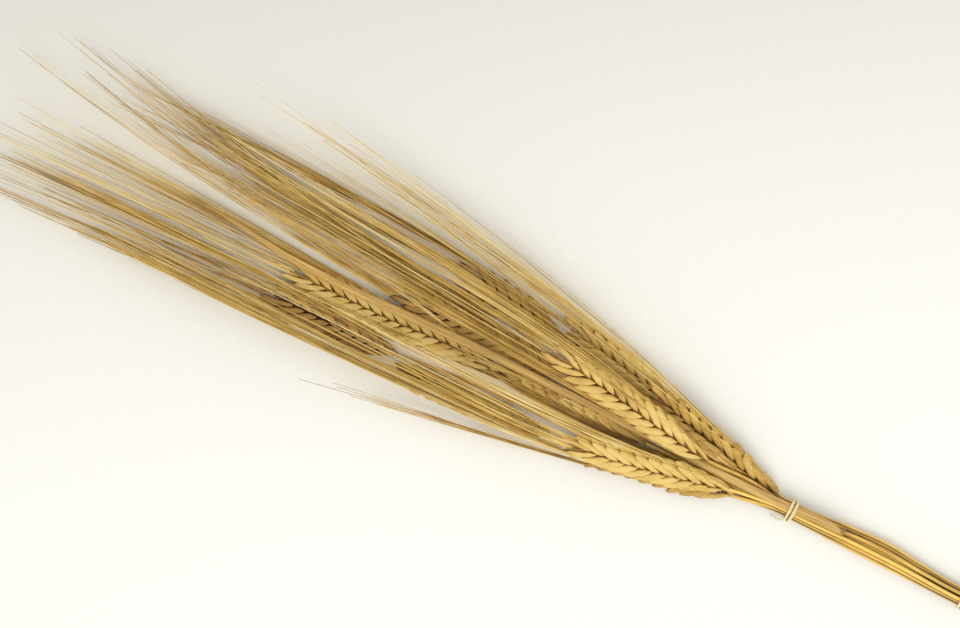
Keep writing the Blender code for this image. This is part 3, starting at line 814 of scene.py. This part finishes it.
def leaf(draw, finish):
    """A folded, ribbed strap, torn at the end of its sheath and pointed at the other."""
    shape = Shape()
    xs = np.linspace(LEAF_ROUTE[0][0], LEAF_ROUTE[-1][0], LEAF_STEPS)
    centres = on_curve(LEAF_ROUTE, xs)
    share = np.linspace(0, 1, len(xs))
    across = np.linspace(-1, 1, LEAF_COLUMNS)
    half = LEAF_HALF_WIDTH * np.minimum(1.0, LEAF_POINT_WIDTH + LEAF_POINT_WIDENS * (1 - share))
    half = half * (1 + WAVER * np.sin(share * WAVER_WAVES))
    axis = unit(np.gradient(centres, axis=0))
    level = unit(np.cross(axis, (0, 0, 1)))
    up = np.cross(level, axis)
    arch = LEAF_ARCH * half / LEAF_HALF_WIDTH
    ribs = RIB_HEIGHT * np.cos(across * RIB_WAVES)
    edge_roll = -EDGE_ROLL * np.abs(across) ** EDGE_ROLL_SHARPNESS
    twist = 0.25 * np.sin(share * 9) + 0.2 * np.sin(share * 23 + 1)
    sheets = []
    for side in (0, 1):
        drop = -side * LEAF_THICKNESS
        lift = arch[:, None] * (1 - across**2)[None, :] + ribs[None, :] + edge_roll[None, :] + drop
        lift = lift + (twist * half * TWIST_SHARE)[:, None] * across[None, :]
        sheet = (
            centres[:, None, :]
            + (half[:, None] * across)[..., None] * level[:, None, :]
            + lift[..., None] * up[:, None, :]
        )
        sheets.append(sheet)
    torn = np.array([either_way(draw, TORN_LENGTH) for _ in across])
    for sheet in sheets:
        sheet[0, :, 0] += torn
        sheet[1, :, 0] += torn * TORN_SHARE
    rings = np.concatenate([sheets[0], sheets[1][:, ::-1]], axis=1)
    shape.add(rings[:, ::-1], 0.5, along=share)
    return shape.build("leaf_blade", finish, nodes=("leaf",))


# The ties

def leaf_outline():
    """Edges and middle of the leaf in Y and Z under the front tie."""
    _, y, z = on_curve(LEAF_ROUTE, TIE_XS[0])[0]
    return [(y - LEAF_HALF_WIDTH, z), (y + LEAF_HALF_WIDTH, z), (y, z + LEAF_ARCH)]


def cord_loop(over_leaf, steps):
    """Points in Y and Z of a turn of thread drawn tight round the straws."""
    reach = HELD_RADIUS + CORD_GAP + CORD_RADIUS
    around = []
    for k in range(steps):
        angle = 2 * math.pi * (k + 0.5) / steps
        away = np.array([math.cos(angle), math.sin(angle)])
        held = [np.array(slot_yz(stalk)) + away * reach for stalk in STALKS]
        if over_leaf:
            held += [np.array(p) + away * (CORD_GAP + CORD_RADIUS) for p in leaf_outline()]
        around.append(max(held, key=lambda p: float(p @ away)))
    return np.array(around)


def evenly(points, count):
    """The closed line through points, cut into equal steps, and its length."""
    closed = np.concatenate([points, points[:1]])
    steps = np.linalg.norm(np.diff(closed, axis=0), axis=1)
    reached = np.concatenate([[0], np.cumsum(steps)])
    wanted = np.linspace(0, reached[-1], count, endpoint=False)
    columns = [np.interp(wanted, reached, closed[:, k]) for k in range(closed.shape[1])]
    return np.stack(columns, -1), reached[-1]


def ply(shape, line, size, turns, phase, tone, closed=True):
    """One ply of a twisted thread that winds round a line; size is its radius and how far out it winds."""
    radius, orbit = size
    count = len(line)
    ahead = np.roll(line, -1, axis=0) - np.roll(line, 1, axis=0)
    axis = unit(ahead if closed else np.gradient(line, axis=0))
    one = unit(np.cross(axis, (1, 0.001, 0)))
    two = np.cross(axis, one)
    angle = 2 * math.pi * turns * np.arange(count) / count + phase
    wound = line + orbit * (np.cos(angle)[:, None] * one + np.sin(angle)[:, None] * two)
    if closed:
        wound = np.concatenate([wound, wound[:2]])
    shape.add(tube_rings(wound, radius, PLY_SIDES), tone)


def twisted(shape, line, size, turns, draw):
    """A thread of all its plies that follows a closed line."""
    for k in range(PLIES):
        ply(shape, line, size, turns, k * 2 * math.pi / PLIES, PLY_TONE + either_way(draw, PLY_TONES))


def tie(name, x, knot_side, over_leaf, has_end, draw, finish):
    """Two turns of thread and a knot at the side, knot_side 1 or -1 in Y, with a loose end or without."""
    shape = Shape()
    for turn, lean in enumerate(TURN_LEANS):
        loop, length = evenly(cord_loop(over_leaf, LOOP_STEPS), LOOP_POINTS)
        line = np.column_stack([
            x + turn * STRAND_SPACING + lean * np.sin(np.linspace(0, 2 * math.pi, len(loop))),
            loop,
        ])
        twisted(shape, line, LOOP_PLY, round(length / TWIST_LENGTH), draw)
    edge = max(p[0] * knot_side for p in cord_loop(over_leaf, KNOT_STEPS))
    centre = np.array([x + STRAND_SPACING / 2, knot_side * (edge + KNOT_OUT), FIRST_ROW_Z + ROW_RISE])
    t = np.linspace(0, 2 * math.pi, KNOT_POINTS, endpoint=False)
    knot = np.column_stack([
        0.62 * np.sin(t) + 0.3 * np.sin(2 * t),
        0.22 * knot_side * np.cos(3 * t),
        0.5 * np.cos(t) - 0.25 * np.cos(2 * t),
    ]) + centre
    twisted(shape, knot, KNOT_PLY, KNOT_TWISTS, draw)
    if has_end:
        s = np.linspace(0, 1, END_POINTS)
        loose = centre + np.column_stack([
            -4.6 * s, knot_side * (0.75 * np.sin(2.4 * s)), -1.6 * s + 0.3 * np.sin(7 * s),
        ])
        for k in range(END_PLIES):
            ply(shape, loose, END_PLY, END_TWISTS, k * 2 * math.pi / END_PLIES, PLY_TONE, closed=False)
    return shape.build(name + "_thread", finish, nodes=(name,))


# Materials

# Colours as they look on a screen, at places from 0 to 1
HUSK_COLOURS = ((0.0, (80, 50, 16)), (0.4, (162, 122, 54)), (0.85, (208, 172, 88)), (1.0, (220, 190, 112)))
STRAW_COLOURS = ((0.0, (60, 34, 10)), (0.4, (176, 132, 54)), (1.0, (242, 202, 100)))
AWN_COLOURS = ((0.0, (118, 84, 30)), (0.4, (188, 150, 72)), (0.75, (226, 194, 108)), (1.0, (236, 218, 160)))
LEAF_COLOURS = ((0.36, (122, 84, 34)), (0.5, (190, 150, 80)), (0.64, (228, 196, 122)))
THREAD_COLOURS = ((0.3, (206, 190, 132)), (0.6, (238, 228, 184)))
PAPER_COLOURS = ((0.3, (235, 235, 230)), (0.7, (238, 238, 233)))
# Painted shade: the paper darkens to this towards its far left corner, and it gets a painted warm light under
# the awns
FALL_X, FALL_Y, FALL_END = -2.2, 3.0, 1.1
FALLOFF_SHADE_COLOUR = (0.69, 0.67, 0.65, 1.0)
PAINTED_BOUNCE_COLOUR = (1.0, 0.97, 0.88, 1.0)
WARM_MIDDLE_Y = 0.002


class Nodes:
    """Short ways to write a material's nodes."""

    def __init__(self, name):
        self.material = bpy.data.materials.new(name)
        self.material.use_nodes = True
        self.tree = self.material.node_tree
        self.shader = self.tree.nodes["Principled BSDF"]

    def node(self, kind, inputs=None, **settings):
        made = self.tree.nodes.new(kind)
        for key, value in settings.items():
            setattr(made, key, value)
        for key, value in (inputs or {}).items():
            if isinstance(value, bpy.types.NodeSocket):
                self.tree.links.new(value, made.inputs[key])
            else:
                made.inputs[key].default_value = value
        return made

    def attribute(self, name):
        return self.node("ShaderNodeAttribute", attribute_name=name).outputs["Fac"]

    def math(self, operation, *values, clamp=False):
        inputs = dict(enumerate(values))
        return self.node("ShaderNodeMath", inputs, operation=operation, use_clamp=clamp).outputs[0]

    def scaled(self, value, factor, added=0.0, clamp=False):
        return self.math("MULTIPLY_ADD", value, factor, added, clamp=clamp)

    def vector(self, x, y, z):
        return self.node("ShaderNodeCombineXYZ", {"X": x, "Y": y, "Z": z}).outputs[0]

    def noise(self, vector, scale, detail=3.0, roughness=0.55):
        return self.node(
            "ShaderNodeTexNoise", {"Vector": vector, "Scale": scale, "Detail": detail, "Roughness": roughness}
        ).outputs["Fac"]

    def ramp(self, factor, *stops):
        made = self.node("ShaderNodeValToRGB", {"Fac": factor})
        band = made.color_ramp
        while len(band.elements) < len(stops):
            band.elements.new(1.0)
        for element, (place, colour) in zip(band.elements, stops):
            element.position = place
            element.color = (*srgb(colour), 1.0)
        return made.outputs["Color"]

    def mix(self, blend, factor, a, b):
        made = self.node("ShaderNodeMix", data_type="RGBA", blend_type=blend)
        for key, value in ((0, factor), (6, a), (7, b)):
            if isinstance(value, bpy.types.NodeSocket):
                self.tree.links.new(value, made.inputs[key])
            else:
                made.inputs[key].default_value = value
        return made.outputs[2]

    def stretched(self, x, y, z):
        """Where a point is, with each direction scaled."""
        coordinates = self.node("ShaderNodeTexCoord").outputs["Object"]
        return self.node("ShaderNodeMapping", {"Vector": coordinates, "Scale": (x, y, z)}).outputs[0]

    def to_shader(self, name, value):
        if isinstance(value, bpy.types.NodeSocket):
            self.tree.links.new(value, self.shader.inputs[name])
        else:
            self.shader.inputs[name].default_value = value

    def bump(self, height, strength, distance):
        made = self.node("ShaderNodeBump", {"Height": height, "Strength": strength, "Distance": distance})
        self.tree.links.new(made.outputs["Normal"], self.shader.inputs["Normal"])


def srgb(colour):
    """Colour written as it looks on a screen, from 0 to 255, in the renderer's own values."""
    return tuple(((c / 255 + 0.055) / 1.055) ** 2.4 if c > 10 else c / 255 / 12.92 for c in colour)


def straw_material(name, stops, grain, streak, paler=0.0, roughness=0.40):
    """Dry straw: streaks along the stem, duller patches and a satin surface.

    grain is how fine its veins are along and around it, streak how strong its streaks are, and paler how much
    paler it gets towards its end.
    """
    n = Nodes(name)
    tone, along, around = n.attribute("tone"), n.attribute("along"), n.attribute("around")
    streaks = n.noise(n.stretched(60, 1800, 1800), 1.0, 4.0)
    grained = n.vector(n.scaled(along, grain[0]), n.scaled(around, grain[1]), n.scaled(tone, 40.0))
    veins = n.noise(grained, 1.0)
    patches = n.noise(n.stretched(90, 220, 220), 1.0, 2.0)
    level = tone
    for pattern, strength in ((streaks, streak), (patches, 0.6), (veins, 0.8)):
        level = n.math("ADD", level, n.scaled(pattern, strength, -0.5 * strength))
    level = n.math("ADD", level, n.scaled(along, paler), clamp=True)
    n.to_shader("Base Color", n.ramp(level, *stops))
    n.to_shader("Roughness", n.scaled(streaks, 0.25, roughness))
    n.to_shader("Specular IOR Level", 0.40)
    n.bump(veins, 0.35, 0.0002)
    return n.material


def leaf_material():
    n = Nodes("leaf_dry")
    around, along = n.attribute("around"), n.attribute("along")
    fibres = n.noise(n.vector(n.scaled(along, 14.0), n.scaled(around, 64.0), 0.0), 1.0, 4.0)
    patches = n.noise(n.vector(n.scaled(along, 9.0), n.scaled(around, 15.0), 3.0), 1.0, 2.0)
    level = n.math("ADD", n.scaled(fibres, 0.7), n.scaled(patches, 0.35), clamp=True)
    n.to_shader("Base Color", n.ramp(level, *LEAF_COLOURS))
    n.to_shader("Roughness", 0.5)
    n.to_shader("Specular IOR Level", 0.35)
    n.bump(fibres, 0.4, 0.0003)
    return n.material


def thread_material():
    n = Nodes("thread_cotton")
    fibres = n.noise(n.stretched(2500, 2500, 2500), 1.0, 4.0)
    n.to_shader("Base Color", n.ramp(fibres, *THREAD_COLOURS))
    n.to_shader("Roughness", 0.85)
    n.to_shader("Sheen Weight", 0.3)
    n.bump(fibres, 0.4, 0.0001)
    return n.material


def floor_material():
    n = Nodes("paper_floor")
    grain = n.noise(n.stretched(900, 900, 900), 1.0, 2.0)
    paper = n.ramp(grain, *PAPER_COLOURS)
    place = n.node("ShaderNodeSeparateXYZ", {"Vector": n.stretched(1, 1, 1)}).outputs
    # Painted shade falling off towards the far left corner
    far = n.math("ADD", n.scaled(place["X"], FALL_X), n.scaled(place["Y"], FALL_Y))
    fall = n.node(
        "ShaderNodeMapRange", {"Value": far, "From Min": 0.0, "From Max": FALL_END},
        interpolation_type="SMOOTHSTEP",
    ).outputs["Result"]
    paper = n.mix("MULTIPLY", fall, paper, FALLOFF_SHADE_COLOUR)
    # Painted warm light, as if bounced from the awns, from past the front tie to short of the awns' tips
    beside = n.math("ABSOLUTE", n.math("SUBTRACT", place["Y"], WARM_MIDDLE_Y))
    warm = n.scaled(beside, -30.0, 1.1, clamp=True)
    warm = n.math("MULTIPLY", warm, n.scaled(place["X"], -18.0, -0.5, clamp=True))
    warm = n.math("MULTIPLY", warm, n.scaled(place["X"], 16.0, 4.2, clamp=True))
    n.to_shader("Base Color", n.mix("MULTIPLY", warm, paper, PAINTED_BOUNCE_COLOUR))
    n.to_shader("Roughness", 0.9)
    n.to_shader("Specular IOR Level", 0.1)
    return n.material


# Stage

FLOOR_SIZE = 3.0
WORLD_COLOUR = (1.0, 0.985, 0.945, 1.0)
WORLD_STRENGTH = 0.84
LAMP_PLACE = Vector((0.18, -0.30, 0.72))
LAMP_AIM = Vector((-0.09, 0.0, 0.0))
LAMP_SIZE = 0.6
LAMP_POWER = 3.4
CAMERA_HEIGHT = 1.5
BUNCH_MIDDLE_Z = 0.005
SENSOR_WIDTH = 36.0
PICTURE_WIDTH = 0.2667
PICTURE_MIDDLE = (-0.1014, 0.0094)
PICTURE_TURN = math.radians(27)
FARTHEST_SEEN = 20.0


def stage():
    mesh = bpy.data.meshes.new("floor")
    size = FLOOR_SIZE
    corners = [(-size, -size, 0), (size, -size, 0), (size, size, 0), (-size, size, 0)]
    mesh.from_pydata(corners, [], [(0, 1, 2, 3)])
    mesh.materials.append(floor_material())
    floor = bpy.data.objects.new("floor", mesh)
    bpy.context.scene.collection.objects.link(floor)

    world = bpy.data.worlds.new("studio")
    world.use_nodes = True
    background = world.node_tree.nodes["Background"]
    background.inputs["Color"].default_value = WORLD_COLOUR
    background.inputs["Strength"].default_value = WORLD_STRENGTH
    bpy.context.scene.world = world

    light = bpy.data.lights.new("key", "AREA")
    light.size = LAMP_SIZE
    light.energy = LAMP_POWER
    lamp = bpy.data.objects.new("key", light)
    lamp.location = LAMP_PLACE
    lamp.rotation_euler = (LAMP_AIM - LAMP_PLACE).to_track_quat("-Z", "Y").to_euler()
    bpy.context.scene.collection.objects.link(lamp)


def camera():
    """Straight above, far off with a long lens, turned so that the bunch lies 27 degrees down."""
    data = bpy.data.cameras.new("camera")
    data.sensor_width = SENSOR_WIDTH
    data.lens = data.sensor_width * CAMERA_HEIGHT / PICTURE_WIDTH
    data.clip_end = FARTHEST_SEEN
    obj = bpy.data.objects.new("camera", data)
    obj.location = (*PICTURE_MIDDLE, CAMERA_HEIGHT + BUNCH_MIDDLE_Z)
    obj.rotation_euler = (0.0, 0.0, PICTURE_TURN)
    bpy.context.scene.collection.objects.link(obj)
    bpy.context.scene.camera = obj
    # White paper stays white, as in a plain scan
    bpy.context.scene.view_settings.view_transform = "Standard"


def main():
    camera()
    stage()
    ear_gold = straw_material("husks", HUSK_COLOURS, grain=(5.0, 34.0), streak=0.8)
    straw_gold = straw_material("straws", STRAW_COLOURS, grain=(1.0, 30.0), streak=1.0, roughness=0.24)
    awn_gold = straw_material("awns", AWN_COLOURS, grain=(1.0, 3.0), streak=0.6, paler=0.01)
    draw = random.Random(SEED)
    room = EarRoom()
    for stalk in STALKS:
        straw(stalk, draw, straw_gold)
        ear(stalk, draw, ear_gold)
        awns(stalk, room, draw, awn_gold)
    leaf(draw, leaf_material())
    thread = thread_material()
    tie("tie_front", TIE_XS[0], -1, True, True, draw, thread)
    tie("tie_rear", TIE_XS[1], 1, False, False, draw, thread)


main()
